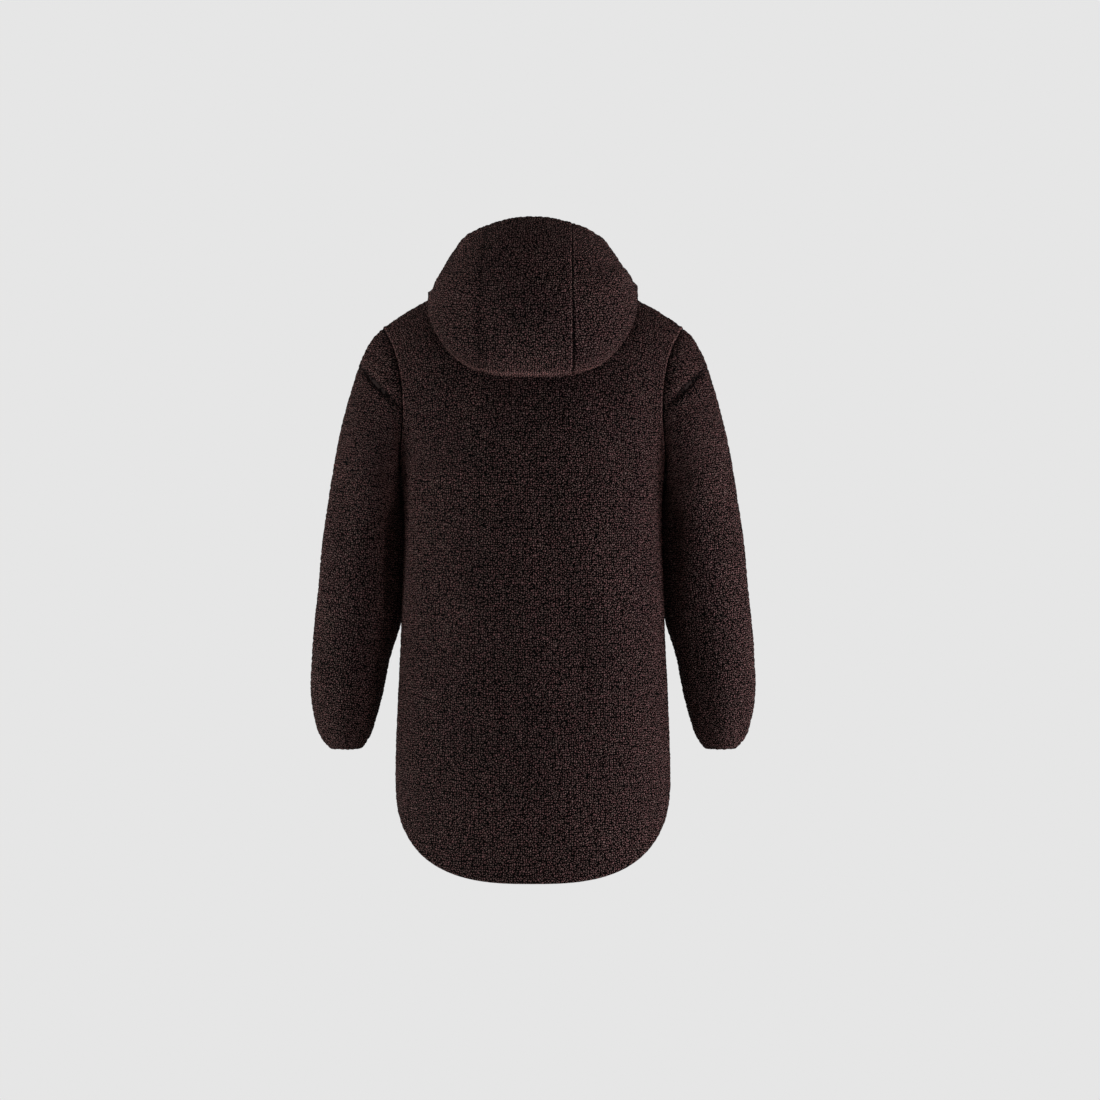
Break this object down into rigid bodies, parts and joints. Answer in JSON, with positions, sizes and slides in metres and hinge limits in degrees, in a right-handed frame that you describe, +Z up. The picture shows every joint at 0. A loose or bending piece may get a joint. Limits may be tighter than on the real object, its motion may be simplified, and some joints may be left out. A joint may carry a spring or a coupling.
{
  "type": "hooded fleece pullover",
  "caption": "Long hooded sherpa fleece pullover, worn shape with nobody in it: dropped shoulders, full sleeves drawn in at the wrists, curved tail, hood lying down the back.",
  "frame": {"origin": "midway between the neck ends of the shoulder seams, where the garment hangs from the shoulders", "axes": "+Z up, +Y towards the wearer's front, +X towards the wearer's right"},
  "size_m": [0.6496, 0.3307, 0.9401],
  "materials": {
    "fleece": "curly pile, matt, very dark brown"
  },
  "bodies": {
    "root": {"back_panel": "fleece", "front_panel": "fleece", "sleeve_left": "fleece", "sleeve_right": "fleece", "hood_centre": "fleece", "hood_left": "fleece", "hood_right": "fleece"}
  },
  "joints": []
}
